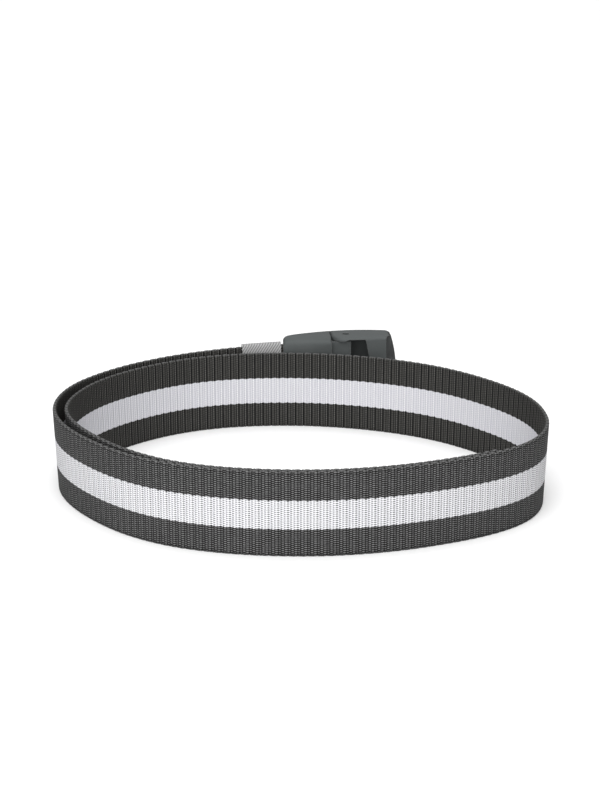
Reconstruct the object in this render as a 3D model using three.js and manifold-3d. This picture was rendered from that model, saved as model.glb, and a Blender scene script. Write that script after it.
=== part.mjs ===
// A canvas web belt that stands on its lower edge, coiled into an oval of a little more than
// one and a half turns. Millimetres, +Z up. +X runs to the right along the coil's long side and
// +Y runs from the front of the coil to its back, where the buckle stands.
import * as THREE from "three";
import { mergeVertices } from "three/addons/utils/BufferGeometryUtils.js";
import Module from "manifold-3d";

const wasm = await Module();
wasm.setup();

// Webbing
const strapWidth = 38;
const strapThickness = 1.8;
const strapLength = 1051;
const selvedgeRounding = 0.45;

// Coil, measured over the outer faces of the outer turn
const loopWidth = 225;
const loopDepth = 188;
const sideLean = 1.7;
const tailClearance = 0.6;
const widestNestGap = 5.4;
const buckleStandOff = 0.6;
const buckleTurn = 5;
const settleLength = 105;

// Keeper
const keeperLength = 19.5;
const keeperThickness = 1;
const keeperFromBuckle = 1.2;

// Buckle
const buckleLength = 59;
const buckleHeight = 45;
const buckleDepth = 14.6;
const plateRadius = 72;
const plateCrownAt = 36;
const plateThickness = 1.8;
const noseAt = 13;
const noseGap = 0.6;
const sideWall = 2.6;
const endArch = 5;
const endSlant = 6.7;
const barWidth = 10.3;
const barThickness = 2;
const cornerRounding = 1.6;
const jawLength = 24.2;
const jawWall = 1.2;
const gripLength = 17;
const mouthTaperLength = 5;
const mouthTaper = 1.6;
const tongueReach = 2;
const tongueRecess = 2;
const earRadius = 7.6;
const pinDiameter = 3;
const pinRecess = 0.9;

// Fits
const clearance = 0.3;

// The oval isn't a true ellipse. Each row gives how far the outer turn reaches at that angle,
// as a share of the ellipse's own reach. Angles run anticlockwise from +X, seen from above.
const reachRows = [
  { at: 0, reach: 0.987 },
  { at: 30, reach: 0.932 },
  { at: 60, reach: 0.957 },
  { at: 90, reach: 0.998 },
  { at: 120, reach: 1.025 },
  { at: 150, reach: 1.027 },
  { at: 180, reach: 0.998 },
  { at: 210, reach: 0.972 },
  { at: 240, reach: 1.001 },
  { at: 270, reach: 0.999 },
  { at: 300, reach: 1.011 },
  { at: 330, reach: 1.057 },
];

// The gap between the outer turn and the turn nested inside it. It starts where the keeper's
// wall passes between the two, opens round the left bend, and closes behind the front.
const keeperGap = keeperThickness + 2 * clearance;
const nestRows = [
  { at: 450, gap: keeperGap },
  { at: 475, gap: keeperGap + 0.04 * widestNestGap },
  { at: 500, gap: 0.94 * widestNestGap },
  { at: 520, gap: widestNestGap },
  { at: 540, gap: 0.69 * widestNestGap },
  { at: 560, gap: 0.69 * widestNestGap },
  { at: 585, gap: 0.48 * widestNestGap },
  { at: 610, gap: tailClearance },
  { at: 690, gap: tailClearance },
];

// Angles of the winding at which the strap leaves the buckle, lies free of the buckle's line,
// starts to turn in from the outer layer, and lies fully inside it.
const mouthAngle = 94;
const straightSpan = 16;
const turnInStart = 375;
const turnInEnd = 445;
const angleStep = 1;
const strapStep = 5;
const settleEase = 1.3;

const radians = THREE.MathUtils.degToRad;

function smooth(share) {
  const s = THREE.MathUtils.clamp(share, 0, 1);
  return s * s * (3 - 2 * s);
}

// A smooth curve through the rows of a table, by cubic pieces with the slopes of their chords.
function throughRows(rows, column, at) {
  const last = rows.length - 1;
  const x = THREE.MathUtils.clamp(at, rows[0].at, rows[last].at);
  const slope = (i) => {
    const a = rows[Math.max(i - 1, 0)];
    const b = rows[Math.min(i + 1, last)];
    return (b[column] - a[column]) / (b.at - a.at);
  };
  let i = 0;
  while (i < last - 1 && x >= rows[i + 1].at) {
    i += 1;
  }
  const span = rows[i + 1].at - rows[i].at;
  const s = (x - rows[i].at) / span;
  const from = (1 + 2 * s) * (1 - s) ** 2 * rows[i][column] + s * (1 - s) ** 2 * span * slope(i);
  const to = s * s * (3 - 2 * s) * rows[i + 1][column] + s * s * (s - 1) * span * slope(i + 1);
  return from + to;
}

const reachRing = [-360, 0, 360].flatMap((turn) =>
  reachRows.map((row) => ({ at: row.at + turn, reach: row.reach })),
);

// The middle of the outer turn's wall at an angle of the winding.
function ovalPoint(at) {
  const angle = THREE.MathUtils.euclideanModulo(at, 360);
  const reach = throughRows(reachRing, "reach", angle);
  return new THREE.Vector2(
    ((loopWidth - strapThickness) / 2) * reach * Math.cos(radians(angle)),
    ((loopDepth - strapThickness) / 2) * reach * Math.sin(radians(angle)),
  );
}

function outwardNormal(pointAt, at) {
  const along = pointAt(at + angleStep / 2).sub(pointAt(at - angleStep / 2));
  return new THREE.Vector2(along.y, -along.x).normalize();
}

// How far inside the outer turn the strap lies. A third turn would lie inside the second.
function insetAt(at) {
  if (at < turnInStart) {
    return 0;
  }
  const layer = strapThickness + throughRows(nestRows, "gap", at);
  const turnIn = smooth((at - turnInStart) / (turnInEnd - turnInStart));
  return turnIn * layer + insetAt(at - 360);
}

const buckleAxis = new THREE.Vector2(1, 0).rotateAround(new THREE.Vector2(), radians(buckleTurn));
const ovalMouth = ovalPoint(mouthAngle);
const mouth = ovalMouth.clone().addScaledVector(outwardNormal(ovalPoint, mouthAngle), buckleStandOff);

// The middle of the strap's wall at an angle of the winding: straight out of the buckle's mouth,
// then round the oval.
function strapPoint(at) {
  const oval = ovalPoint(at).addScaledVector(outwardNormal(ovalPoint, at), -insetAt(at));
  const free = smooth((at - mouthAngle) / straightSpan);
  const run = ovalPoint(at).distanceTo(ovalMouth);
  const straight = mouth.clone().addScaledVector(buckleAxis, -run);
  return at < mouthAngle + straightSpan ? straight.lerp(oval, free) : oval;
}

// The strap's upper and lower edges keep their distance, and near the buckle the strap is
// lifted, because the buckle is taller than the webbing and stands on the same surface.
const buckleLift = (buckleHeight - strapWidth) / 2;

function liftAfter(distanceFromMouth) {
  const left = 1 - THREE.MathUtils.clamp(distanceFromMouth / settleLength, 0, 1);
  return buckleLift * left ** settleEase;
}

// Walks the winding once and notes where the strap is at each distance from its fixed end.
function walkWinding() {
  const grip = mouth.clone().addScaledVector(buckleAxis, gripLength);
  const gripNormal = new THREE.Vector2(-buckleAxis.y, buckleAxis.x);
  const stops = [{ distance: 0, point: grip, normal: gripNormal, lean: 0 }];
  let at = mouthAngle;
  while (stops.at(-1).distance < strapLength) {
    const point = strapPoint(at);
    const previous = stops.at(-1);
    const normal = at === mouthAngle ? gripNormal : outwardNormal(strapPoint, at);
    stops.push({
      distance: previous.distance + point.distanceTo(previous.point),
      point,
      normal,
      lean: sideLean * Math.cos(radians(at)) ** 2,
    });
    at += angleStep;
  }
  return stops;
}

const winding = walkWinding();

// Bends a piece that is modelled flat along the winding. Flat x is the distance from the
// strap's middle towards the inside of the coil, flat y the height above the strap's lower
// edge, and flat z the distance from the strap's fixed end.
function coil(flat) {
  const position = flat.attributes.position;
  for (let i = 0; i < position.count; i += 1) {
    const distance = position.getZ(i);
    const height = position.getY(i);
    let k = 1;
    while (k < winding.length - 1 && winding[k].distance < distance) {
      k += 1;
    }
    const a = winding[k - 1];
    const b = winding[k];
    const share = (distance - a.distance) / (b.distance - a.distance);
    const point = a.point.clone().lerp(b.point, share);
    const normal = a.normal.clone().lerp(b.normal, share).normalize();
    const lean = THREE.MathUtils.lerp(a.lean, b.lean, share) * (height / strapWidth - 0.5);
    point.addScaledVector(normal, lean - position.getX(i));
    position.setXYZ(i, point.x, point.y, height + liftAfter(distance - gripLength));
  }
  flat.computeVertexNormals();
  return flat;
}

// A rectangle with its corners cut, as the outline of a wall seen end on.
function cutRectangle(low, high, cut) {
  return [
    new THREE.Vector2(low.x + cut, low.y),
    new THREE.Vector2(high.x - cut, low.y),
    new THREE.Vector2(high.x, low.y + cut),
    new THREE.Vector2(high.x, high.y - cut),
    new THREE.Vector2(high.x - cut, high.y),
    new THREE.Vector2(low.x + cut, high.y),
    new THREE.Vector2(low.x, high.y - cut),
    new THREE.Vector2(low.x, low.y + cut),
  ];
}

function strapSection(grow, cut) {
  const half = strapThickness / 2 + grow;
  return cutRectangle({ x: -half, y: -grow }, { x: half, y: strapWidth + grow }, cut);
}

function makeStrap() {
  const section = new THREE.Shape(strapSection(0, selvedgeRounding));
  const steps = Math.round(strapLength / strapStep);
  return coil(new THREE.ExtrudeGeometry(section, { depth: strapLength, steps, bevelEnabled: false }));
}

function makeKeeper() {
  const outer = clearance + keeperThickness;
  const section = new THREE.Shape(strapSection(outer, keeperThickness));
  section.holes.push(new THREE.Path(strapSection(clearance, selvedgeRounding / 2)));
  const steps = Math.round(keeperLength / strapStep);
  const flat = new THREE.ExtrudeGeometry(section, { depth: keeperLength, steps, bevelEnabled: false });
  flat.translate(0, 0, gripLength + keeperFromBuckle);
  return coil(flat);
}

// Solids for cutting and joining
function solidOf(geometry) {
  const bare = geometry.clone();
  bare.deleteAttribute("normal");
  bare.deleteAttribute("uv");
  const merged = mergeVertices(bare, 1e-4);
  const mesh = new wasm.Mesh({
    numProp: 3,
    vertProperties: new Float32Array(merged.attributes.position.array),
    triVerts: new Uint32Array(merged.index.array),
  });
  return new wasm.Manifold(mesh);
}

function geometryOf(solid) {
  const mesh = solid.getMesh();
  const geometry = new THREE.BufferGeometry();
  geometry.setAttribute("position", new THREE.BufferAttribute(mesh.vertProperties, 3));
  geometry.setIndex(new THREE.BufferAttribute(mesh.triVerts, 1));
  geometry.computeVertexNormals();
  return geometry;
}

// A plan outline raised from one height to another.
function upright(outline, from, to) {
  const shape = new THREE.Shape(outline);
  const geometry = new THREE.ExtrudeGeometry(shape, { depth: to - from, bevelEnabled: false });
  return solidOf(geometry.translate(0, 0, from));
}

// A side outline, length by height, pushed through the whole depth of the buckle.
function sideways(outline) {
  const through = 4 * buckleDepth;
  const geometry = new THREE.ExtrudeGeometry(new THREE.Shape(outline), { depth: through, bevelEnabled: false });
  return solidOf(geometry.rotateX(Math.PI / 2).translate(0, through / 2, 0));
}

function roundBar(radius, from, to, at) {
  const geometry = new THREE.CylinderGeometry(radius, radius, to - from, 24);
  geometry.rotateX(Math.PI / 2).translate(at.x, at.y, (from + to) / 2);
  return solidOf(geometry);
}

function arcPoints(centre, radius, fromAngle, toAngle, pieces) {
  return Array.from({ length: pieces + 1 }, (_, i) => {
    const angle = fromAngle + ((toAngle - fromAngle) * i) / pieces;
    return new THREE.Vector2(centre.x + radius * Math.cos(angle), centre.y + radius * Math.sin(angle));
  });
}

// Buckle, in its own frame: x from the strap's mouth to the far end, y out of the coil with 0
// at the strap's middle, z up from the lower edge.
const innerPlane = -(strapThickness / 2 + clearance + jawWall);
const plateCentre = new THREE.Vector2(plateCrownAt, innerPlane + buckleDepth - plateRadius);
const plateHeightAt = (x, radius) => plateCentre.y + Math.sqrt(radius ** 2 - (x - plateCentre.x) ** 2);
const plateInside = plateRadius - plateThickness;
const frameLow = clearance;
const frameHigh = buckleHeight - clearance;

// An arc about the face plate's centre, from one length along the buckle to another.
function plateArc(radius, fromX, toX, pieces) {
  const angleAt = (x) => Math.acos((x - plateCentre.x) / radius);
  return arcPoints(plateCentre, radius, angleAt(fromX), angleAt(toX), pieces);
}

// The ears are round about the pin, so that the frame turns clear of the jaw's block.
const pinPlace = new THREE.Vector2(jawLength + clearance + earRadius, innerPlane + earRadius);

function makePlate() {
  const outer = plateArc(plateRadius, buckleLength, noseAt, 18);
  const inner = plateArc(plateInside, noseAt, buckleLength, 18);
  return upright([...outer, ...inner], frameLow, frameHigh);
}

function makeSideWall(from, to) {
  const middle = plateRadius - plateThickness / 2;
  const ear = arcPoints(pinPlace, earRadius, Math.PI, 1.5 * Math.PI, 10);
  const innerEnd = new THREE.Vector2(buckleLength - endSlant, innerPlane);
  const plateSide = plateArc(middle, buckleLength, pinPlace.x - earRadius, 12);
  return upright([...ear, innerEnd, ...plateSide], from, to);
}

// The bar that the free end is threaded round, and the slanting wall that closes the far end.
function makeEndBar() {
  const slant = buckleLength - endSlant;
  const farSide = plateHeightAt(buckleLength, plateRadius - plateThickness / 2);
  const barLeft = slant - barWidth;
  const outline = [
    new THREE.Vector2(barLeft, innerPlane),
    new THREE.Vector2(slant, innerPlane),
    new THREE.Vector2(buckleLength, farSide),
    new THREE.Vector2(buckleLength - barThickness, farSide),
    new THREE.Vector2(slant - barThickness / 2, innerPlane + barThickness),
    new THREE.Vector2(barLeft, innerPlane + barThickness),
  ];
  return upright(outline, frameLow, frameHigh);
}

// The frame's outline seen from inside the coil, with the far end arched.
function archedOutline() {
  const half = (frameHigh - frameLow) / 2;
  const middle = (frameLow + frameHigh) / 2;
  const radius = (half ** 2 + endArch ** 2) / (2 * endArch);
  const sweep = Math.asin((half - cornerRounding) / radius);
  const arch = arcPoints(new THREE.Vector2(buckleLength - radius, middle), radius, -sweep, sweep, 14);
  const corner = arch.at(-1).x - cornerRounding;
  return [
    new THREE.Vector2(0, frameLow),
    new THREE.Vector2(corner, frameLow),
    ...arch,
    new THREE.Vector2(corner, frameHigh),
    new THREE.Vector2(0, frameHigh),
  ];
}

function makeFrame() {
  const bore = roundBar(pinDiameter / 2 + clearance, -buckleHeight, 2 * buckleHeight, pinPlace);
  const walls = makeSideWall(frameLow, frameLow + sideWall).add(makeSideWall(frameHigh - sideWall, frameHigh));
  const whole = makePlate().add(walls).add(makeEndBar());
  return geometryOf(whole.intersect(sideways(archedOutline())).subtract(bore));
}

// The clamp block on the strap's fixed end, wedge shaped towards the mouth, and its tongue.
function makeJaw() {
  const back = plateArc(plateInside - noseGap, jawLength, noseAt, 6);
  const block = upright(
    [
      new THREE.Vector2(0, innerPlane + jawWall / 2),
      new THREE.Vector2(jawWall / 2, innerPlane),
      new THREE.Vector2(jawLength - jawWall / 2, innerPlane),
      new THREE.Vector2(jawLength, innerPlane + jawWall / 2),
      ...back,
      new THREE.Vector2(0, -innerPlane),
    ],
    0,
    buckleHeight,
  );
  const side = sideways([
    new THREE.Vector2(0, mouthTaper),
    new THREE.Vector2(mouthTaperLength, 0),
    new THREE.Vector2(jawLength, 0),
    new THREE.Vector2(jawLength, buckleHeight),
    new THREE.Vector2(mouthTaperLength, buckleHeight),
    new THREE.Vector2(0, buckleHeight - mouthTaper),
  ]);
  const knuckle = pinDiameter / 2 + clearance + jawWall;
  const tongueEnd = pinPlace.x + tongueReach;
  const tongue = upright(
    [
      new THREE.Vector2(jawLength - jawWall, innerPlane + tongueRecess),
      new THREE.Vector2(tongueEnd, innerPlane + tongueRecess),
      new THREE.Vector2(tongueEnd, pinPlace.y),
      ...arcPoints(pinPlace, knuckle, 0, Math.PI / 2, 6),
      new THREE.Vector2(jawLength - jawWall, pinPlace.y + knuckle),
    ],
    frameLow + sideWall + clearance,
    frameHigh - sideWall - clearance,
  );
  const pocketHalf = strapThickness / 2 + clearance;
  const pocket = upright(
    [
      new THREE.Vector2(-jawWall, -pocketHalf),
      new THREE.Vector2(gripLength + clearance, -pocketHalf),
      new THREE.Vector2(gripLength + clearance, pocketHalf),
      new THREE.Vector2(-jawWall, pocketHalf),
    ],
    buckleLift - clearance,
    buckleHeight - buckleLift + clearance,
  );
  const bore = roundBar(pinDiameter / 2 + clearance, -buckleHeight, 2 * buckleHeight, pinPlace);
  return geometryOf(block.intersect(side).add(tongue).subtract(pocket).subtract(bore));
}

function makePin() {
  return geometryOf(roundBar(pinDiameter / 2, frameLow + pinRecess, frameHigh - pinRecess, pinPlace));
}

function finish(colour, roughness, metalness) {
  return new THREE.MeshStandardMaterial({ color: colour, roughness, metalness });
}

function named(name, geometry, material) {
  const mesh = new THREE.Mesh(geometry, material);
  mesh.name = name;
  return mesh;
}

const webbing = finish(0x3f3f40, 0.95, 0);
const twill = finish(0xa3a3a2, 0.95, 0);
const greyMetal = finish(0x6b6f6e, 0.42, 0.6);
const pinMetal = finish(0x3c3e3e, 0.4, 0.8);

const buckle = new THREE.Group();
buckle.add(
  named("buckle_jaw", makeJaw(), greyMetal),
  named("buckle_frame", makeFrame(), greyMetal),
  named("hinge_pin", makePin(), pinMetal),
);
buckle.position.set(mouth.x, mouth.y, 0);
buckle.rotation.z = radians(buckleTurn);

const belt = new THREE.Group();
belt.add(
  named("strap", makeStrap(), webbing),
  named("keeper_loop", makeKeeper(), twill),
  buckle,
);

// The origin is under the middle of the belt, on the surface that it stands on.
belt.updateMatrixWorld(true);
const extent = new THREE.Box3().setFromObject(belt, true);
const middle = extent.getCenter(new THREE.Vector3());
belt.position.set(-middle.x, -middle.y, -extent.min.z);

export default belt;
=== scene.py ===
# %% [markdown]
# A canvas web belt, coiled and standing on its lower edge.
#
# The belt is one length of woven webbing with three woven bands, a keeper of twill tape, and a
# metal buckle whose frame turns on a pin in its clamp jaw. The solid model is loaded first and
# never changed. Each piece here is made round it, in the same place and in metres.

import math

import bmesh
import bpy
import numpy as np
from mathutils import Matrix, Vector


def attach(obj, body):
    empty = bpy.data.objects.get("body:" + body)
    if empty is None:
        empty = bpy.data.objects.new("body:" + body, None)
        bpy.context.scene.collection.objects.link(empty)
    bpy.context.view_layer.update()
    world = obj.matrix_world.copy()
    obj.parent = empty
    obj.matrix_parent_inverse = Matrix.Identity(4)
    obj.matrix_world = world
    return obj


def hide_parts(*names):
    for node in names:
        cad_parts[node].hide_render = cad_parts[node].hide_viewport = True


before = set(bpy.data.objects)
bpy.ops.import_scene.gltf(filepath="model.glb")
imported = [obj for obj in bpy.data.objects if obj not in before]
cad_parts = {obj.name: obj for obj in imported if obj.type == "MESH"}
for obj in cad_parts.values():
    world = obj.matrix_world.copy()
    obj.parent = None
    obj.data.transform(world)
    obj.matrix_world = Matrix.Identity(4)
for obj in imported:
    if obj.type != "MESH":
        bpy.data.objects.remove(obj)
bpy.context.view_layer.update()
print("nodes:", sorted(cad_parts))

MM = 0.001

# %% [markdown]
# The camera looks along +Y and 17 degrees down, from about a metre away. A long lens at that
# distance keeps the front and the back of the coil close in size, as the belt shows. Its sensor
# is 36 mm on the picture's long side, so 99 mm is the lens that frames the belt this way.

# %% Camera
CAMERA_PLACE, CAMERA_DOWN = (0.0007, -0.9743, 0.3364), 17
LENS, SENSOR, FAR_CLIP = 99, 36, 20

bpy.ops.object.select_all(action="DESELECT")
bpy.ops.object.camera_add(location=CAMERA_PLACE, rotation=(math.radians(90 - CAMERA_DOWN), 0, 0))
camera = bpy.context.object
camera.name = "camera"
camera.data.lens = LENS
camera.data.sensor_width = SENSOR
camera.data.clip_end = FAR_CLIP
bpy.context.scene.camera = camera
print("camera at, m:", [round(x, 3) for x in camera.location])

# %% [markdown]
# The sky and the materials are node trees. They could be wired one socket at a time, but a few
# small helpers make them shorter to write and to read. One adds a node with its inputs, and one
# adds a Math node, so that a weave can be written almost as its formula.

# %% Node helpers
def add_node(tree, kind, inputs=None, **settings):
    """Adds a node, sets what it is given and joins the sockets it is given."""
    node = tree.nodes.new("ShaderNode" + kind)
    for name, value in settings.items():
        setattr(node, name, value)
    for name, value in (inputs or {}).items():
        if isinstance(value, bpy.types.NodeSocket):
            tree.links.new(value, node.inputs[name])
        else:
            node.inputs[name].default_value = value
    return node


def maths(tree, operation, *values):
    """Adds a Math node and returns its result."""
    return add_node(tree, "Math", dict(enumerate(values)), operation=operation).outputs[0]


def times(tree, a, b):
    """The product of two numbers."""
    return maths(tree, "MULTIPLY", a, b)


def ramp(tree, value, low, high, out_low=0.0, out_high=1.0):
    """A soft step from out_low to out_high as the value passes from low to high."""
    inputs = {"Value": value, "From Min": low, "From Max": high}
    inputs.update({"To Min": out_low, "To Max": out_high})
    return add_node(tree, "MapRange", inputs, interpolation_type="SMOOTHSTEP").outputs[0]


def mix(tree, share, a, b):
    """Blends two colours. A Mix node's colour sockets are the sixth and seventh."""
    return add_node(tree, "Mix", {0: share, 6: a, 7: b}, data_type="RGBA").outputs[2]


def start_group(name, inputs, outputs):
    """A new node group with these sockets, and its input and output nodes."""
    tree = bpy.data.node_groups.new(name, "ShaderNodeTree")
    for direction, sockets in (("INPUT", inputs), ("OUTPUT", outputs)):
        for label, kind in sockets.items():
            tree.interface.new_socket(name=label, in_out=direction, socket_type="NodeSocket" + kind)
    return tree, tree.nodes.new("NodeGroupInput").outputs, tree.nodes.new("NodeGroupOutput").inputs


def use_group(tree, group, inputs):
    """Adds a node group with its inputs."""
    return add_node(tree, "Group", inputs, node_tree=group).outputs


def start_material(name):
    """A new material, its node tree and its shader's inputs."""
    material = bpy.data.materials.new(name)
    material.use_nodes = True
    return material, material.node_tree, material.node_tree.nodes["Principled BSDF"].inputs


def grey(value):
    """A linear grey."""
    return (value, value, value, 1)


# %% [markdown]
# The belt stands on a plain white floor under soft light. The sky acts as one very large
# softbox. It is brightest overhead, so the tops of things come out lighter than their sides,
# and it darkens towards the left and right, so the coil's round ends are a little darker than
# its middle. One wide lamp fills from the front and the left. Several lamps could do the same,
# but each would draw its own shadow and its own glint on the metal.

# %% Floor and light
FLOOR_SIZE = 12
LAMP_PLACE, LAMP_SIZE, LAMP_POWER = (-0.4, -1.45, 0.8), 2.0, 28
# The sky's strength at the horizon and overhead, and the share that is left of it at both sides
SKY_SIDE, SKY_TOP, SKY_ENDS = 0.33, 1.85, 0.1
# Where the darkening starts and stops, from 0 straight ahead to 1 straight to the side
SHADE_FROM, SHADE_TO = 0.2, 0.9

bpy.ops.object.select_all(action="DESELECT")
bpy.ops.mesh.primitive_plane_add(size=FLOOR_SIZE, location=(0, 0, 0))
floor = bpy.context.object
floor.name = "floor"

bpy.ops.object.select_all(action="DESELECT")
bpy.ops.object.light_add(type="AREA", location=LAMP_PLACE)
lamp = bpy.context.object
lamp.name = "lamp_front"
lamp.data.size = LAMP_SIZE
lamp.data.energy = LAMP_POWER
lamp.rotation_euler = (-lamp.location).to_track_quat("-Z", "Y").to_euler()

world = bpy.data.worlds.new("studio")
bpy.context.scene.world = world
world.use_nodes = True
sky = world.node_tree
direction = add_node(sky, "TexCoord").outputs["Generated"]
way = add_node(sky, "SeparateXYZ", {0: direction}).outputs
strength = ramp(sky, way["Z"], 0, 1, SKY_SIDE, SKY_TOP)
shade = ramp(sky, maths(sky, "ABSOLUTE", way["X"]), SHADE_FROM, SHADE_TO, 1.0, SKY_ENDS)
sky.nodes["Background"].inputs["Color"].default_value = (1, 1, 1, 1)
sky.links.new(times(sky, strength, shade), sky.nodes["Background"].inputs["Strength"])
bpy.context.scene.view_settings.view_transform = "Standard"

# %% [markdown]
# The way of modelling is the same for every piece. A cube is added at the piece's size and
# place, and edit mode then cuts, pulls and rounds it. With no mouse at hand, the faces and edges
# to work on are found in code, by where they are and which way they face.

# %% Modelling helpers
def start_box(name, low, high):
    """A cube with its lowest and highest corner in mm, left in edit mode."""
    bpy.ops.object.select_all(action="DESELECT")
    middle = [(a + b) / 2 * MM for a, b in zip(low, high)]
    bpy.ops.mesh.primitive_cube_add(size=1, location=middle)
    piece = bpy.context.object
    piece.name = name
    piece.scale = [(b - a) * MM for a, b in zip(low, high)]
    bpy.ops.object.transform_apply(location=True, rotation=True, scale=True)
    bpy.ops.object.mode_set(mode="EDIT")
    return piece


def pick(piece, kind, test):
    """Selects the VERT, EDGE or FACE items that pass test(place in mm, normal).

    For an edge, the test gets its direction in place of a normal.
    """
    bpy.ops.mesh.select_mode(type=kind)
    bpy.ops.mesh.select_all(action="DESELECT")
    mesh = bmesh.from_edit_mesh(piece.data)
    for item in {"VERT": mesh.verts, "EDGE": mesh.edges, "FACE": mesh.faces}[kind]:
        if kind == "VERT":
            hit = test(item.co / MM, item.normal)
        elif kind == "EDGE":
            a, b = item.verts
            hit = test((a.co + b.co) / 2 / MM, (b.co - a.co).normalized())
        else:
            hit = test(item.calc_center_median() / MM, item.normal)
        item.select_set(bool(hit))
    mesh.select_flush_mode()
    bmesh.update_edit_mesh(piece.data)


def slice_at(axis, places):
    """Cuts the whole piece across an axis at each place in mm."""
    normal = [float(axis == k) for k in "xyz"]
    for place in places:
        bpy.ops.mesh.select_all(action="SELECT")
        bpy.ops.mesh.bisect(plane_co=[place * MM * n for n in normal], plane_no=normal)


def trim(point, outwards):
    """Cuts away all that lies beyond a plane and closes the cut."""
    bpy.ops.mesh.select_all(action="SELECT")
    spot = [x * MM for x in point]
    bpy.ops.mesh.bisect(plane_co=spot, plane_no=outwards, clear_outer=True, use_fill=True)


def bevel(offset, segments):
    """Rounds the picked edges."""
    bpy.ops.mesh.bevel(offset=offset * MM, segments=segments, profile=0.5)


def shift(x=0, y=0):
    """Moves what is picked."""
    bpy.ops.transform.translate(value=(x * MM, y * MM, 0))


def end_edit(piece):
    """Leaves edit mode with only this piece selected."""
    bpy.ops.object.mode_set(mode="OBJECT")
    bpy.ops.object.select_all(action="DESELECT")
    piece.select_set(True)
    bpy.context.view_layer.objects.active = piece


def use_modifier(piece, kind, **settings):
    """Adds a modifier with these settings and applies it."""
    end_edit(piece)
    modifier = piece.modifiers.new(kind.lower(), kind)
    for name, value in settings.items():
        setattr(modifier, name, value)
    bpy.ops.object.modifier_apply(modifier=modifier.name)


def join_or_cut(piece, tool, operation):
    """Adds the tool's shape to the piece or cuts it away, and drops the tool."""
    end_edit(piece)
    use_modifier(piece, "BOOLEAN", object=tool, operation=operation, solver="EXACT")
    bpy.data.objects.remove(tool)


def count(piece):
    """Prints how many points and triangles a piece has."""
    mesh = piece.data
    mesh.calc_loop_triangles()
    print(f"{piece.name}: {len(mesh.vertices)} points, {len(mesh.loop_triangles)} triangles")


# %% [markdown]
# The webbing follows a spiral, seen from above. The outer turn is an oval that isn't quite an
# ellipse, so a short table gives its reach at every 30 degrees. A little past one full turn the
# strap moves inwards, and from there it runs just inside its own first turn. A hand-drawn curve
# could give the line too, but these are the numbers that the solid model was made from, so the
# cloth lies exactly where the solid says.

# %% The line that the webbing follows
STRAP_WIDTH, STRAP_THICKNESS, STRAP_LENGTH = 38.0, 1.8, 1051.0
LOOP_WIDTH, LOOP_DEPTH, SIDE_LEAN = 225.0, 188.0, 1.7
REACH = np.array(
    [0.987, 0.932, 0.957, 0.998, 1.025, 1.027, 0.998, 0.972, 1.001, 0.999, 1.011, 1.057]
)
NEST_FROM, NEST_OVER = 375, 70
WIDEST_GAP, KEEPER_GAP, TAIL_GAP = 5.4, 1.6, 0.6
# Each row: degrees along the winding, and the gap there to the turn outside it
GAPS = np.array(
    [
        (450, KEEPER_GAP),
        (475, KEEPER_GAP + 0.04 * WIDEST_GAP),
        (500, 0.94 * WIDEST_GAP),
        (520, WIDEST_GAP),
        (540, 0.69 * WIDEST_GAP),
        (560, 0.69 * WIDEST_GAP),
        (585, 0.48 * WIDEST_GAP),
        (610, TAIL_GAP),
        (690, TAIL_GAP),
    ]
)
MOUTH_ANGLE, FREE_ANGLE, BUCKLE_TURN, STAND_OFF = 94.0, 16.0, 5.0, 0.6
GRIP_LENGTH, BUCKLE_LIFT, SETTLE_LENGTH, SETTLE_EASE = 17.0, 3.5, 105.0, 1.3
PLAN_SHIFT = np.array([0.0905, -7.6805])


def smooth(share):
    """A soft step from 0 to 1."""
    s = min(max(share, 0.0), 1.0)
    return s * s * (3 - 2 * s)


def through_rows(places, values, at):
    """A smooth curve through a table's rows."""
    last = len(places) - 1
    x = min(max(at, places[0]), places[last])
    i = int(min(np.searchsorted(places, x, side="right") - 1, last - 1))

    def slope(k):
        a, b = max(k - 1, 0), min(k + 1, last)
        return (values[b] - values[a]) / (places[b] - places[a])

    span = places[i + 1] - places[i]
    s = (x - places[i]) / span
    start = (1 + 2 * s) * (1 - s) ** 2 * values[i] + s * (1 - s) ** 2 * span * slope(i)
    end = s * s * (3 - 2 * s) * values[i + 1] + s * s * (s - 1) * span * slope(i + 1)
    return start + end


def oval_point(at):
    """The outer turn's middle line at an angle in degrees."""
    angle = at % 360
    reach = through_rows(np.arange(-12, 24) * 30.0, np.tile(REACH, 3), angle)
    half = np.array([LOOP_WIDTH - STRAP_THICKNESS, LOOP_DEPTH - STRAP_THICKNESS]) / 2
    return half * reach * np.array([math.cos(math.radians(angle)), math.sin(math.radians(angle))])


def outward(line, at):
    """The direction out of the coil, square to a line."""
    along = line(at + 0.5) - line(at - 0.5)
    return np.array([along[1], -along[0]]) / np.hypot(*along)


def inset(at):
    """How far the strap lies inside the outer turn's line."""
    if at < NEST_FROM:
        return 0.0
    layer = STRAP_THICKNESS + through_rows(GAPS[:, 0], GAPS[:, 1], at)
    return smooth((at - NEST_FROM) / NEST_OVER) * layer + inset(at - 360)


buckle_axis = np.array([math.cos(math.radians(BUCKLE_TURN)), math.sin(math.radians(BUCKLE_TURN))])
oval_mouth = oval_point(MOUTH_ANGLE)
mouth = oval_mouth + STAND_OFF * outward(oval_point, MOUTH_ANGLE)


def strap_point(at):
    """The strap's middle line, which leaves the buckle straight and then joins the oval."""
    oval = oval_point(at) - inset(at) * outward(oval_point, at)
    if at >= MOUTH_ANGLE + FREE_ANGLE:
        return oval
    straight = mouth - buckle_axis * np.hypot(*(oval_point(at) - oval_mouth))
    return straight + (oval - straight) * smooth((at - MOUTH_ANGLE) / FREE_ANGLE)


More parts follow.
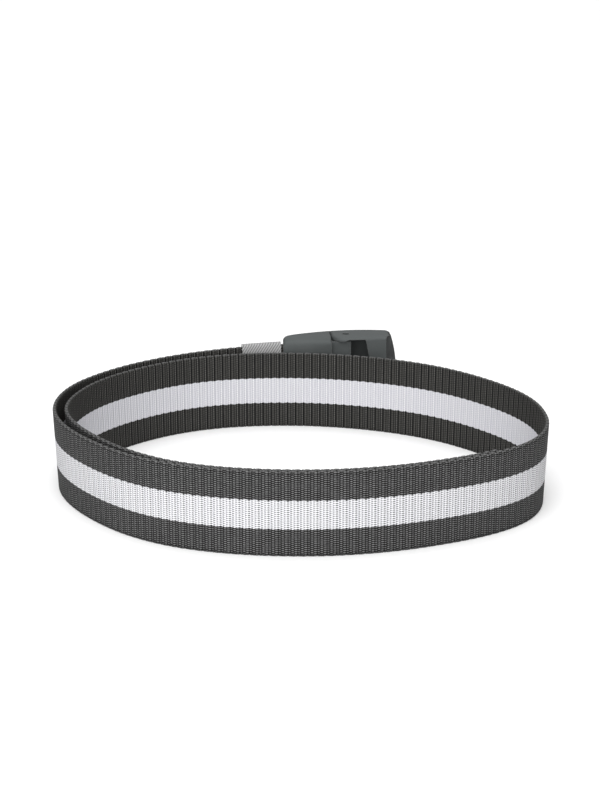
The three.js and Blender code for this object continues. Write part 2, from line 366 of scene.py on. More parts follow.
def walk_winding():
    """Rows of distance, place and outward direction in plan, and lean, from the fixed end."""
    rows = [(0.0, *(mouth + GRIP_LENGTH * buckle_axis), -buckle_axis[1], buckle_axis[0], 0.0)]
    at = MOUTH_ANGLE
    while rows[-1][0] < STRAP_LENGTH:
        point = strap_point(at)
        facing = rows[0][3:5] if at == MOUTH_ANGLE else outward(strap_point, at)
        far = rows[-1][0] + np.hypot(*(point - rows[-1][1:3]))
        rows.append((far, *point, *facing, SIDE_LEAN * math.cos(math.radians(at)) ** 2))
        at += 1.0
    return np.array(rows)


winding = walk_winding()
print("the winding has", len(winding), "stops and ends at", round(winding[-1, 0], 1), "mm")

# %% [markdown]
# A piece of webbing is modelled flat and then wound. Flat, its length runs along X, its outer
# face looks along +Y and its width stands along Z. A Curve modifier could wind it too, but the
# belt's sides lean a little and its first part rises into the buckle, and this small function
# does all three at once.

# %% Wind a flat piece
def wind(piece):
    """Moves a flat piece's points onto the winding."""
    mesh = piece.data
    flat = np.zeros(len(mesh.vertices) * 3)
    mesh.vertices.foreach_get("co", flat)
    along, out, height = (flat.reshape(-1, 3) / MM).T
    stops = winding[:, 0]
    point = np.stack([np.interp(along, stops, winding[:, k]) for k in (1, 2)], 1)
    facing = np.stack([np.interp(along, stops, winding[:, k]) for k in (3, 4)], 1)
    facing /= np.linalg.norm(facing, axis=1, keepdims=True)
    lean = np.interp(along, stops, winding[:, 5]) * (height / STRAP_WIDTH - 0.5)
    left = 1 - np.clip((along - GRIP_LENGTH) / SETTLE_LENGTH, 0, 1)
    plan = point + facing * (lean + out)[:, None] + PLAN_SHIFT
    placed = np.column_stack([plan, height + BUCKLE_LIFT * left**SETTLE_EASE]) * MM
    mesh.vertices.foreach_set("co", placed.astype(np.float32).ravel())
    mesh.update()


# %% [markdown]
# Webbing is a heavy ribbed weave: a deep groove, a narrow rib, a shallow groove and a wide rib
# with a soft dip, again and again every 4.1 mm. Displacing one long fine grid could raise the
# ribs, but it takes far more faces. Here only one repeat is modelled, as a slice of a box whose
# rings are drawn in at the grooves, and an Array modifier lays 256 of them end to end. The long
# edges are rounded, and they stand out a little between the grooves, as the weft loops do at a
# real selvedge. Two cuts near the edges keep the wide faces evenly shaded.

# %% One repeat of the webbing
REPEATS = 256
REPEAT = STRAP_LENGTH / REPEATS
# Share of the repeat, height of the outer and of the inner face as shares of half the
# thickness, growth of the width in mm
RINGS = [
    (0.0, 0.91, 0.74, -0.45),
    (0.09, 1.0, 1.04, -0.05),
    (0.2, 1.02, 1.04, 0.1),
    (0.3, 0.95, 0.89, -0.15),
    (0.44, 1.03, 1.0, 0.2),
    (0.59, 0.99, 0.92, 0.3),
    (0.85, 1.02, 1.0, 0.1),
    (1.0, 0.91, 0.74, -0.45),
]
EDGE_ROUNDING, EDGE_ZONE = 0.6, 2.0

half = STRAP_THICKNESS / 2
strap = start_box("belt_webbing", (0, -half, 0), (REPEAT, half, STRAP_WIDTH))
pick(strap, "EDGE", lambda place, way: abs(way.x) > 0.9)
bevel(EDGE_ROUNDING, 1)
pick(strap, "FACE", lambda place, normal: abs(normal.x) > 0.9)
bpy.ops.mesh.delete(type="FACE")
slice_at("x", [share * REPEAT for share, *_ in RINGS[1:-1]])
slice_at("z", (EDGE_ZONE, STRAP_WIDTH - EDGE_ZONE))
for share, outer, inner, growth in RINGS:
    on_ring = lambda place: abs(place.x - share * REPEAT) < 0.01
    for side, depth in ((1, outer), (-1, inner)):
        pick(strap, "VERT", lambda place, _: on_ring(place) and side * place.y > 0)
        bpy.ops.transform.resize(
            value=(1, depth, 1 + growth / STRAP_WIDTH),
            center_override=(share * REPEAT * MM, 0, STRAP_WIDTH / 2 * MM),
        )
end_edit(strap)
count(strap)

# %% Lay the repeats end to end and close the ends
use_modifier(
    strap,
    "ARRAY",
    count=REPEATS,
    use_relative_offset=False,
    use_constant_offset=True,
    constant_offset_displace=(REPEAT * MM, 0, 0),
    use_merge_vertices=True,
    merge_threshold=0.01 * MM,
)
bpy.ops.object.mode_set(mode="EDIT")
for end in (0, STRAP_LENGTH):
    pick(strap, "VERT", lambda place, _: abs(place.x - end) < 0.01)
    bpy.ops.mesh.edge_face_add()
bpy.ops.mesh.select_all(action="SELECT")
bpy.ops.mesh.normals_make_consistent(inside=False)
end_edit(strap)
count(strap)

# %% [markdown]
# The weave's fine pattern has to follow the strap round its bends, so the flat place of every
# point is kept before the winding: the UV map holds the length and the height in metres, and an
# attribute says which points are on the outer face, because the two faces are woven differently.

# %% Keep the flat places, then wind
def keep_flat_places(piece, places):
    """Stores a place in metres for each point in the piece's UV map."""
    layer = piece.data.uv_layers.get("flat") or piece.data.uv_layers.new(name="flat")
    corners = np.zeros(len(piece.data.loops), int)
    piece.data.loops.foreach_get("vertex_index", corners)
    layer.data.foreach_set("uv", places[corners].astype(np.float32).ravel())


def flat_points(piece):
    """Every point's place in metres."""
    points = np.zeros(len(piece.data.vertices) * 3)
    piece.data.vertices.foreach_get("co", points)
    return points.reshape(-1, 3)


def keep_number(piece, name, values):
    """Stores a number for each point."""
    attribute = piece.data.attributes.new(name, "FLOAT", "POINT")
    attribute.data.foreach_set("value", values.astype(np.float32))


places = flat_points(strap)
keep_flat_places(strap, places[:, [0, 2]])
keep_number(strap, "outer_face", (places[:, 1] > 0).astype(float))
print("points on the outer face:", int((places[:, 1] > 0).sum()))
wind(strap)
bpy.ops.object.shade_smooth()

# %% [markdown]
# The keeper is a short tube of twill tape, and the strap runs through it. It begins as a box
# round the strap. The ends are opened, the corners rounded, and the skin cut finely enough to
# raise the tape's slanting ridges, which run up to the right on the side that faces the coil.
# A bump alone could draw the ridges, but then the tape's edge would stay smooth. A Solidify
# modifier gives the tape its thickness.

# %% Keeper
KEEPER_START, KEEPER_LENGTH, TAPE, ROOM = GRIP_LENGTH + 1.2, 19.5, 1.0, 0.3
KEEPER_ROUNDING, CUTS_ALONG, CUTS_UP, CORNER_ZONE = 1.5, 51, 95, 3
TWILL_SLANT, TWILL_PITCH, TWILL_RAISE = math.radians(57), 1.15, 0.09
# The tape's wall stays a little thinner than the tape, so that it keeps clear of the strap
WALL_PLAY = 0.05

out = half + ROOM + TAPE
keeper = start_box(
    "keeper_tape",
    (KEEPER_START, -out, -ROOM - TAPE),
    (KEEPER_START + KEEPER_LENGTH, out, STRAP_WIDTH + ROOM + TAPE),
)
pick(keeper, "EDGE", lambda place, way: abs(way.x) > 0.9)
bevel(KEEPER_ROUNDING, 4)
pick(keeper, "FACE", lambda place, normal: abs(normal.x) > 0.9)
bpy.ops.mesh.delete(type="FACE")
pick(keeper, "EDGE", lambda place, way: abs(way.x) > 0.9)
bpy.ops.mesh.subdivide(number_cuts=CUTS_ALONG)
on_face = lambda place: CORNER_ZONE < place.z < STRAP_WIDTH - CORNER_ZONE
pick(keeper, "EDGE", lambda place, way: abs(way.z) > 0.99 and on_face(place))
bpy.ops.mesh.subdivide(number_cuts=CUTS_UP)
end_edit(keeper)
count(keeper)

# %% [markdown]
# The ridges are a cosine across the slant. A point's place round the tape runs up the inner face
# and down the outer one, so the ridges meet over the top. Each point is drawn in square to the
# face that it lies on, or slantwise in the rounded corners.

# %% Raise the twill and thicken the tape
flat = flat_points(keeper) / MM
high_z = flat[:, 2].max()
round_the_tape = np.where(flat[:, 1] < 0, flat[:, 2], 2 * high_z + flat[:, 1] + out - flat[:, 2])
phase = (flat[:, 0] + round_the_tape / math.tan(TWILL_SLANT)) * math.sin(TWILL_SLANT) / TWILL_PITCH
raised = TWILL_RAISE * (np.cos(2 * math.pi * phase) - 1)
up = (flat[:, 2] - STRAP_WIDTH / 2) / 20
away = np.column_stack([np.zeros(len(flat)), flat[:, 1] / out, up])
away[:, 1] = np.where(np.abs(away[:, 1]) > 0.6, away[:, 1], 0)
away[:, 2] = np.where(np.abs(away[:, 2]) > 0.95, away[:, 2], 0)
away /= np.maximum(np.linalg.norm(away, axis=1, keepdims=True), 1e-9)
flat += away * raised[:, None]
keeper.data.vertices.foreach_set("co", (flat * MM).astype(np.float32).ravel())
keep_flat_places(keeper, np.column_stack([flat[:, 0], round_the_tape]) * MM)
use_modifier(keeper, "SOLIDIFY", thickness=(TAPE - WALL_PLAY) * MM, offset=-1, use_even_offset=True)
wind(keeper)
bpy.ops.object.shade_smooth_by_angle(angle=math.radians(50))
count(keeper)

# %% [markdown]
# The buckle is two cast pieces on one pin: a clamp jaw, fixed to the strap, and a frame that
# turns on it. Both are modelled flat on the buckle's own axes and turned into place at the end.
# X runs from the strap's mouth to the far end, Y out of the coil with 0 at the strap's middle,
# and Z upwards. All the sizes that the two pieces share stand here.

# %% Buckle numbers
BUCKLE_LENGTH, BUCKLE_HEIGHT, BUCKLE_DEPTH = 59.0, 45.0, 14.6
MID_HEIGHT = BUCKLE_HEIGHT / 2
# Where the buckle's inner side lies
INNER = -2.4
BORE_SIDES, PIN_SIDES = 28, 48
# The face plate is bent to a circle, and bulges most at CROWN. It thins towards its nose.
PLATE_RADIUS, PLATE_THICKNESS, CROWN = 72.0, 1.8, 36.0
JAW_LENGTH, NOSE_AT, NOSE_THICKNESS, NOSE_GAP = 24.2, 13.0, 0.5, 0.45
END_AT, END_SLANT, END_ARCH, BAR_WIDTH, BAR_ARCH = 58.2, 6.6, 3.8, 7.7, 3.0
SIDE_WALL, EAR_WALL, BAR_THICKNESS = 1.4, 2.3, 2.0
EAR_RADIUS, PIN_RADIUS = 7.6, 1.5
EAR_LEFT = JAW_LENGTH + ROOM
PIN = (EAR_LEFT + EAR_RADIUS, INNER + EAR_RADIUS)
FRAME_LOW, FRAME_HIGH = ROOM, BUCKLE_HEIGHT - ROOM


def plate_depth(x, radius):
    """How far out the face plate's circle lies at a length along the buckle."""
    return INNER + BUCKLE_DEPTH - PLATE_RADIUS + math.sqrt(radius**2 - (x - CROWN) ** 2)


def bend_side(piece, sections, side, target):
    """Moves one side's points to their depth at each section. side(place) says which they are."""
    for x in sections:
        here = lambda place: abs(place.x - x) < 0.01 and side(place)
        hits = [v.co.y for v in bmesh.from_edit_mesh(piece.data).verts if here(v.co / MM)]
        pick(piece, "VERT", lambda place, _: here(place))
        shift(y=target(x) - hits[0] / MM)


def resize(y=1, z=1, middle_y=0):
    """Scales what is picked in depth and height, about a depth and the buckle's mid height."""
    centre = (0, middle_y * MM, MID_HEIGHT * MM)
    bpy.ops.transform.resize(value=(1, y, z), center_override=centre)


def place_in_buckle(piece):
    """Turns a finished buckle piece into its place at the strap's mouth."""
    x, y = (mouth + PLAN_SHIFT) * MM
    turn = Matrix.Rotation(math.radians(BUCKLE_TURN), 4, "Z")
    end_edit(piece)
    piece.matrix_world = Matrix.Translation((x, y, 0)) @ turn
    bpy.ops.object.transform_apply(location=True, rotation=True, scale=True)


def bore_for_pin(piece):
    """Drills the hole that the hinge pin turns in."""
    bpy.ops.object.select_all(action="DESELECT")
    bpy.ops.mesh.primitive_cylinder_add(
        vertices=BORE_SIDES,
        radius=(PIN_RADIUS + ROOM) * MM,
        depth=2 * BUCKLE_HEIGHT * MM,
        location=(PIN[0] * MM, PIN[1] * MM, MID_HEIGHT * MM),
    )
    drill = bpy.context.object
    bpy.ops.object.transform_apply(location=True, rotation=True, scale=True)
    join_or_cut(piece, drill, "DIFFERENCE")


print("hinge pin at, mm:", [round(x, 1) for x in PIN])

# %% [markdown]
# The clamp jaw is a wedge: thin at the mouth, and as deep as the curved face plate allows at
# the hinge. It could be extruded from a drawn side view, but a box that is cut into sections
# has its back pulled to the plate's curve one section at a time, with the same numbers as the
# plate. The long edges towards the coil are well rounded, and so is the mouth.

# %% Clamp jaw
WEDGE_START, WEDGE_BULGE = 2.0, 1.35
# How much each section near the mouth is drawn in from above and below, in mm
MOUTH_DROPS = ((0, 1.6), (0.5, 0.9), (1.2, 0.4), (2.2, 0.1))
JAW_SECTIONS = (0.5, 1.2, 2.2, 4, 6, 8, 10.5, NOSE_AT, 16, 19, 21.7)
JAW_ROUNDING, JAW_END_ROUNDING = 4.0, 0.9


def nose_thickness(x):
    """The plate's thickness past the ears, where it thins towards its nose."""
    share = (EAR_LEFT - x) / (EAR_LEFT - NOSE_AT)
    return PLATE_THICKNESS * (NOSE_THICKNESS / PLATE_THICKNESS) ** share


def jaw_back(x):
    """How far out the jaw's back lies: a wedge at first, then just under the plate."""
    under = max(x, NOSE_AT)
    depth = plate_depth(under, PLATE_RADIUS) - nose_thickness(under) - NOSE_GAP
    share = min(x / NOSE_AT, 1.0)
    if share == 1:
        return depth
    rise = share * (WEDGE_BULGE - (WEDGE_BULGE - 1) * share)
    return WEDGE_START + (depth - WEDGE_START) * rise


jaw = start_box("buckle_clamp_jaw", (0, INNER, 0), (JAW_LENGTH, 9, BUCKLE_HEIGHT))
slice_at("x", JAW_SECTIONS)
bend_side(jaw, (0, *JAW_SECTIONS, JAW_LENGTH), lambda place: place.y > 0, jaw_back)


def on_long_edge(place):
    """Whether a point is on the upper or lower edge towards the coil, and not on its ends."""
    at_rim = place.z < 0.01 or place.z > BUCKLE_HEIGHT - 0.01
    return at_rim and abs(place.y - INNER) < 0.01 and 0.1 < place.x < JAW_LENGTH - 0.1


pick(jaw, "EDGE", lambda place, way: abs(way.z) < 0.5 and on_long_edge(place))
bevel(JAW_ROUNDING, 8)
for x, drop in MOUTH_DROPS:
    pick(jaw, "VERT", lambda place, _: abs(place.x - x) < 0.01)
    resize(y=1 - drop / 8, z=1 - drop / MID_HEIGHT)
at_end = lambda place: place.x > JAW_LENGTH - 0.01
pick(jaw, "EDGE", lambda place, way: abs(way.z) < 0.9 and abs(way.x) < 0.3 and at_end(place))
bevel(JAW_END_ROUNDING, 4)
end_edit(jaw)
count(jaw)

# %% [markdown]
# Behind the jaw's end face comes the tongue that reaches to the hinge pin. It is a box of its
# own, joined on. The pocket that grips the strap and the bore for the pin are cut out with a
# box and a cylinder. An inset and an extrusion could make the pocket too, but a cut stays right
# when a size changes. The cut edges stay sharp in the mesh, because a bevel after a cut easily
# tears, and the metal's material rounds them off.

# %% Tongue, pocket and bore
TONGUE_LOW = FRAME_LOW + EAR_WALL + ROOM
TONGUE_HIGH = FRAME_HIGH - EAR_WALL - ROOM
TONGUE_OVERLAP, TONGUE_RECESS, TONGUE_REACH, TONGUE_DEPTH, TONGUE_ROUNDING = 3, 2, 2, 3, 2
CUT_SPARE = 2
SMOOTH_ANGLE = math.radians(35)

tongue = start_box(
    "tongue",
    (JAW_LENGTH - TONGUE_OVERLAP, INNER + TONGUE_RECESS, TONGUE_LOW),
    (PIN[0] + TONGUE_REACH, PIN[1] + TONGUE_DEPTH, TONGUE_HIGH),
)
past_pin = lambda place: place.x > PIN[0] and place.y > PIN[1]
pick(tongue, "EDGE", lambda place, way: abs(way.z) > 0.9 and past_pin(place))
bevel(TONGUE_ROUNDING, 6)
end_edit(tongue)
join_or_cut(jaw, tongue, "UNION")

pocket = start_box(
    "pocket",
    (-CUT_SPARE, -half - ROOM, BUCKLE_LIFT - ROOM),
    (GRIP_LENGTH + ROOM, half + ROOM, BUCKLE_HEIGHT - BUCKLE_LIFT + ROOM),
)
end_edit(pocket)
join_or_cut(jaw, pocket, "DIFFERENCE")
bore_for_pin(jaw)
bpy.ops.object.shade_smooth_by_angle(angle=SMOOTH_ANGLE)
place_in_buckle(jaw)
count(jaw)

# %% [markdown]
# The frame is a shallow tray round the pin: a curved face plate outside, a wall above and below,
# two ears, and a slanting far end that is arched when seen from inside. It begins as a box. One
# large bevel rounds the ears, the back is pulled to the plate's curve, and planes trim the far
# end. A lofted sheet could follow the curve too, but the box stays closed all the way.

# %% Frame
FRAME_SECTIONS = 16
half_height = (FRAME_HIGH - FRAME_LOW) / 2
end_radius = half_height**2 / (2 * END_ARCH)
bar_right = END_AT - END_SLANT
bar_left = bar_right - BAR_WIDTH
# The far end's upper and lower corners are rounded: length and height of the corner's points
CORNER = ((51.6, 44.7), (53.4, 44.5), (54.5, 43.9), (55.0, 42.9))


def arch_end(at, radius):
    """Trims a piece's far end with 14 planes to an arch that reaches out to a length."""
    reach = math.asin(half_height / radius)
    for turn in np.linspace(-reach, reach, 14):
        way = (math.cos(turn), 0, math.sin(turn))
        trim((at - radius + radius * way[0], 0, MID_HEIGHT + radius * way[2]), way)


def slant_end(inwards):
    """Trims the far end to its slant, seen from above."""
    rise = plate_depth(END_AT, PLATE_RADIUS) - INNER
    trim((bar_right - inwards, INNER, 0), Vector((rise, -END_SLANT, 0)).normalized())


def on_coil_side(place):
    """Whether a point lies in the plane of the buckle's inner side, which faces the coil."""
    return abs(place.y - INNER) < 0.01


tray = start_box(
    "buckle_face_frame", (EAR_LEFT, INNER, FRAME_LOW), (BUCKLE_LENGTH, 13, FRAME_HIGH)
)
on_left = lambda place: abs(place.x - EAR_LEFT) < 0.01
pick(tray, "EDGE", lambda place, way: abs(way.z) > 0.9 and on_left(place) and place.y < 0)
bevel(EAR_RADIUS, 10)
sections = (EAR_LEFT, *np.linspace(PIN[0], BUCKLE_LENGTH, FRAME_SECTIONS - 3))
slice_at("x", sections[1:-1])
plate_outside = lambda x: plate_depth(x, PLATE_RADIUS)
bend_side(tray, sections, lambda place: place.y > 12.5, plate_outside)
slant_end(0)
arch_end(END_AT, end_radius)
for (x0, z0), (x1, z1) in zip(CORNER[:-1], CORNER[1:]):
    way = Vector((z0 - z1, 0, x1 - x0)).normalized()
    trim((x1, 0, z1), way)
    trim((x1, 0, BUCKLE_HEIGHT - z1), (way.x, 0, -way.z))
print("far end, mm:", [round(x, 1) for x in (bar_left, bar_right, end_radius)])

# %% [markdown]
# The plate reaches past the ears to its nose. Its cut edge is pulled out there in five steps,
# and thinned at each. The long edges that face the coil are rounded before the hollow is cut,
# because bevels hold best on a mesh that is still simple.

# %% Nose and rims
NOSE_STEPS, RIM_ROUNDING, END_ROUNDING = 5, 1.9, 0.45

plate_root = plate_depth(EAR_LEFT, PLATE_RADIUS - PLATE_THICKNESS) + 0.1
slice_at("y", [plate_root])
pick(tray, "FACE", lambda place, normal: normal.x < -0.9 and place.y > plate_root)
stops = np.linspace(EAR_LEFT, NOSE_AT, NOSE_STEPS + 1)
for start, stop in zip(stops[:-1], stops[1:]):
    bpy.ops.mesh.extrude_region_move()
    shift(x=stop - start, y=plate_outside(stop) - plate_outside(start))
    resize(y=nose_thickness(stop) / nose_thickness(start), middle_y=plate_outside(stop))


def on_ear(place):
    """Whether a point is on the round part of an ear."""
    off_round = math.hypot(place.x - PIN[0], place.y - PIN[1]) - EAR_RADIUS
    return abs(off_round) < 0.2 and place.x < PIN[0] and place.y < PIN[1]


def on_rim(place):
    """Whether a point is on a long edge that faces the coil, up to the plate's root."""
    at_rim = place.z < FRAME_LOW + 0.01 or place.z > FRAME_HIGH - 0.01
    below_root = on_left(place) and place.y < plate_root
    return at_rim and (on_coil_side(place) or on_ear(place) or below_root)


pick(tray, "EDGE", lambda place, way: on_rim(place) and place.x < bar_right + 0.1)
bevel(RIM_ROUNDING, 6)
at_bar_end = lambda place: on_coil_side(place) and place.x > bar_left
pick(tray, "EDGE", lambda place, way: abs(way.z) > 0.7 and at_bar_end(place))
bevel(END_ROUNDING, 3)
end_edit(tray)
count(tray)

# %% [markdown]
# The hollow is cut with a second box, bent and trimmed like the first one and a wall smaller. It
# leaves the end bar, and a third box opens the window beside it. Both tools are drawn in at the
# ears, which are thicker than the side walls. The wall of the far end is given a painted shade,
# so its faces are marked for the material.

# %% Hollow the frame
END_WALL = 1.6


def thicken_ears(tool):
    """Draws a cutting tool in where the ears are, so that their walls stay thicker."""
    pick(tool, "VERT", lambda place, _: place.x < PIN[0] - 1)
    wide = MID_HEIGHT - FRAME_LOW
    resize(z=(wide - EAR_WALL) / (wide - SIDE_WALL))


hollow = start_box(
    "hollow",
    (EAR_LEFT - 1, INNER + BAR_THICKNESS, FRAME_LOW + SIDE_WALL),
    (BUCKLE_LENGTH, 14, FRAME_HIGH - SIDE_WALL),
)
sections = np.linspace(EAR_LEFT - 1, BUCKLE_LENGTH, FRAME_SECTIONS)
slice_at("x", sections[1:-1])
plate_inside = lambda x: plate_depth(x, PLATE_RADIUS - PLATE_THICKNESS)
bend_side(hollow, sections, lambda place: place.y > 12, plate_inside)
thicken_ears(hollow)
slant_end(BAR_THICKNESS)
arch_end(END_AT - END_WALL, end_radius - END_WALL)
end_edit(hollow)
join_or_cut(tray, hollow, "DIFFERENCE")

window = start_box(
    "window",
    (EAR_LEFT - 1, INNER - CUT_SPARE, FRAME_LOW + SIDE_WALL),
    (bar_left, 2, FRAME_HIGH - SIDE_WALL),
)
slice_at("x", sections[3:5])
thicken_ears(window)
arch_end(bar_left, half_height**2 / (2 * BAR_ARCH))
end_edit(window)
join_or_cut(tray, window, "DIFFERENCE")
bore_for_pin(tray)
bpy.ops.object.shade_smooth_by_angle(angle=SMOOTH_ANGLE)
# Marks the far end's wall, which the material paints with shade
shaded_end_wall = tray.data.attributes.new("shaded_end_wall", "FLOAT", "CORNER")
for face in tray.data.polygons:
    marked = float(face.normal.x > 0.4 and face.normal.y > -0.55)
    for corner in face.loop_indices:
        shaded_end_wall.data[corner].value = marked
place_in_buckle(tray)
count(tray)

# %% [markdown]
# The hinge pin is a plain rod with its ends broken by a small rounding. It stops just short of
# the ears' outer faces, so that each bore shows as a dark hole. A cylinder is all it needs.

# %% Hinge pin
PIN_SUNK, PIN_ROUNDING = 0.9, 0.3

bpy.ops.object.select_all(action="DESELECT")
pin_low, pin_high = FRAME_LOW + PIN_SUNK, FRAME_HIGH - PIN_SUNK
bpy.ops.mesh.primitive_cylinder_add(
    vertices=PIN_SIDES,
    radius=PIN_RADIUS * MM,
    depth=(pin_high - pin_low) * MM,
    location=(PIN[0] * MM, PIN[1] * MM, (pin_low + pin_high) / 2 * MM),
)
pin = bpy.context.object
pin.name = "buckle_hinge_pin"
bpy.ops.object.transform_apply(location=True, rotation=True, scale=True)
bpy.ops.object.mode_set(mode="EDIT")
pick(pin, "FACE", lambda place, normal: abs(normal.z) > 0.9)
bevel(PIN_ROUNDING, 2)
end_edit(pin)
bpy.ops.object.shade_smooth_by_angle(angle=math.radians(40))
place_in_buckle(pin)
count(pin)

# %% [markdown]
# The two faces of the webbing are woven differently, so each has a node group made from its own
# tables. On the outer face short weft floats cross the ribs in rows, and each column of floats
# is half a row off its neighbour, with small holes between them. On the inner face the rows are
# fainter, and plain ribs run up and down between the grooves. A group reads the flat place and
# puts out masks: a painted highlight on the floats, painted shade in the grooves, the holes, which
# are painted with shade too, and the height for a bump. Modelling every yarn would give the same
# picture with millions of faces more.

# %% Weave groups
WEAVE_MASKS = ("Light", "Groove shade", "Holes", "Height", "Chance")
OUTER_ROW, INNER_ROW = 0.95, 1.15
# How much of a float's painted highlight is lost between two rows
OUTER_CONTRAST, INNER_CONTRAST = 1.0, 0.6
# Each column: its middle and half width as shares of a repeat, its stagger in rows, its strength
OUTER_FLOATS = ((0.16, 0.2, 0.5, 0.8), (0.48, 0.2, 0.0, 1.0), (0.82, 0.2, 0.5, 1.0))
OUTER_HOLES = ((0.0, 0.15, 0.0, 1.0), (0.32, 0.13, 0.5, 0.9), (0.65, 0.12, 0.0, 0.8))
INNER_FLOATS = ((0.15, 0.12, 0.0, 1.0), (0.44, 0.13, 0.25, 0.35), (0.77, 0.17, 0.5, 0.4))
INNER_HOLES = ((0.0, 0.12, 0.0, 0.6), (0.29, 0.1, 0.5, 0.6), (0.6, 0.1, 0.0, 0.6))
# Each groove: its middle, half width and depth
OUTER_GROOVES = ((0.0, 0.06, 0.5), (0.32, 0.045, 0.3))
INNER_GROOVES = ((0.0, 0.15, 0.85), (0.29, 0.07, 0.7), (0.59, 0.06, 0.45))


def near_column(tree, repeats, middle, reach):
    """1 at a column's middle, falling to 0 at its reach, in every repeat."""
    away = maths(tree, "PINGPONG", maths(tree, "SUBTRACT", repeats, middle), 0.5)
    return ramp(tree, away, 0.45 * reach, reach, 1, 0)


def largest(tree, values):
    """The largest of several numbers."""
    most = values[0]
    for value in values[1:]:
        most = maths(tree, "MAXIMUM", most, value)
    return most


def make_face(name, floats, holes, grooves, row, row_contrast):
    """A node group for one face, with rows of this height in mm."""
    masks = dict.fromkeys(WEAVE_MASKS, "Float")
    tree, given, result = start_group(name, {"Place": "Vector"}, masks)
    split = add_node(tree, "SeparateXYZ", {"Vector": given["Place"]}).outputs
    repeats = maths(tree, "DIVIDE", split["X"], REPEAT * MM)
    rows = maths(tree, "DIVIDE", split["Y"], row * MM)

    def in_rows(table, tight, loose, keep):
        """The columns of a table, each broken into rows that fade between two distances."""
        parts = []
        for middle, reach, stagger, strength in table:
            up = maths(tree, "PINGPONG", maths(tree, "ADD", rows, stagger), 0.5)
            beat = ramp(tree, up, tight, loose, strength, strength * keep)
            column = near_column(tree, repeats, middle, reach)
            parts.append(times(tree, column, beat))
        return largest(tree, parts)

    # The floats, which also carry the painted highlight
    floats_and_highlight = in_rows(floats, 0.14, 0.36, 1 - row_contrast)
    # The holes and the grooves below, which also carry the painted shade
    gaps = in_rows(holes, 0.16, 0.3, 0.0)
    cuts = []
    for middle, reach, depth in grooves:
        column = near_column(tree, repeats, middle, reach)
        cuts.append(times(tree, column, depth))
    grooves_and_shade = largest(tree, cuts)
    sunk = maths(tree, "MAXIMUM", grooves_and_shade, gaps)
    height = maths(tree, "SUBTRACT", times(tree, floats_and_highlight, 0.7), sunk)

    column = maths(tree, "FLOOR", times(tree, repeats, 3.17))
    places = {"X": column, "Y": maths(tree, "FLOOR", rows), "Z": 0.0}
    cell = add_node(tree, "CombineXYZ", places).outputs[0]
    noise = add_node(tree, "TexWhiteNoise", {"Vector": cell}, noise_dimensions="3D")
    chance = noise.outputs["Value"]
    for label, value in zip(WEAVE_MASKS, (floats_and_highlight, grooves_and_shade, gaps, height, chance)):
        tree.links.new(value, result[label])
    return tree


outer_weave = make_face(
    "webbing_outer_face", OUTER_FLOATS, OUTER_HOLES, OUTER_GROOVES, OUTER_ROW, OUTER_CONTRAST
)
inner_weave = make_face(
    "webbing_inner_face", INNER_FLOATS, INNER_HOLES, INNER_GROOVES, INNER_ROW, INNER_CONTRAST
)
print("weave groups:", len(outer_weave.nodes), "and", len(inner_weave.nodes), "nodes")

# %% [markdown]
# The white band is woven in, so its borders step with the ribs: white swells over a rib and a
# dark tooth comes in at each groove. Along both edges the weft turns back in loops, one for each
# repeat, which get a painted highlight above a row of small gaps in painted shade.

# %% Bands and selvedge group
# The white band's lower and upper edge, and how soft an edge is
BAND_EDGES, BAND_SOFT = (12.4, 25.1), 0.12

bands, given, result = start_group(
    "belt_bands", {"Place": "Vector"}, {"White": "Float", "Loops": "Float", "Gaps": "Float"}
)
split = add_node(bands, "SeparateXYZ", {"Vector": given["Place"]}).outputs
repeats = maths(bands, "DIVIDE", split["X"], REPEAT * MM)
arc = maths(bands, "ABSOLUTE", maths(bands, "SINE", times(bands, repeats, math.pi)))
step = near_column(bands, repeats, 0.315, 0.09)
swell = maths(bands, "POWER", arc, 0.6)
swell = maths(bands, "SUBTRACT", swell, times(bands, step, 0.4))
swell = times(bands, maths(bands, "SUBTRACT", swell, 0.6), 0.5 * MM)


def height_off(middle):
    """How far the place is above or below a height in mm."""
    return maths(bands, "ABSOLUTE", maths(bands, "SUBTRACT", split["Y"], middle * MM))


half_band = (BAND_EDGES[1] - BAND_EDGES[0]) / 2
reach = maths(bands, "SUBTRACT", height_off(sum(BAND_EDGES) / 2), swell)
from_half, to_half = (half_band - BAND_SOFT) * MM, (half_band + BAND_SOFT) * MM
bands.links.new(ramp(bands, reach, from_half, to_half, 1, 0), result["White"])

# The loops along both edges, which get a painted highlight
from_edge = maths(bands, "SUBTRACT", STRAP_WIDTH / 2 * MM, height_off(STRAP_WIDTH / 2))
bow = maths(bands, "SUBTRACT", from_edge, times(bands, arc, -0.5 * MM))
loop = ramp(bands, bow, 0.2 * MM, 0.95 * MM, 1, 0)
loop = times(bands, loop, near_column(bands, repeats, 0.5, 0.5))
bands.links.new(loop, result["Loops"])

# The small gaps below the loops, which get a painted shade
off_gaps = maths(bands, "ABSOLUTE", maths(bands, "SUBTRACT", from_edge, 1.15 * MM))
gap_row = ramp(bands, off_gaps, 0.15 * MM, 0.4 * MM, 1, 0)
gap_columns = [near_column(bands, repeats, *column) for column in ((0.0, 0.13), (0.45, 0.11))]
gap = times(bands, gap_row, largest(bands, gap_columns))
bands.links.new(gap, result["Gaps"])
print("bands group:", len(bands.nodes), "nodes")

# %% [markdown]
# Yarn is never even. A second group, which the webbing and the tape share, adds fine fibre
# speckle and a slow drift of tone along the cloth.

# %% Yarn group
DRIFT_SCALE = 45.0

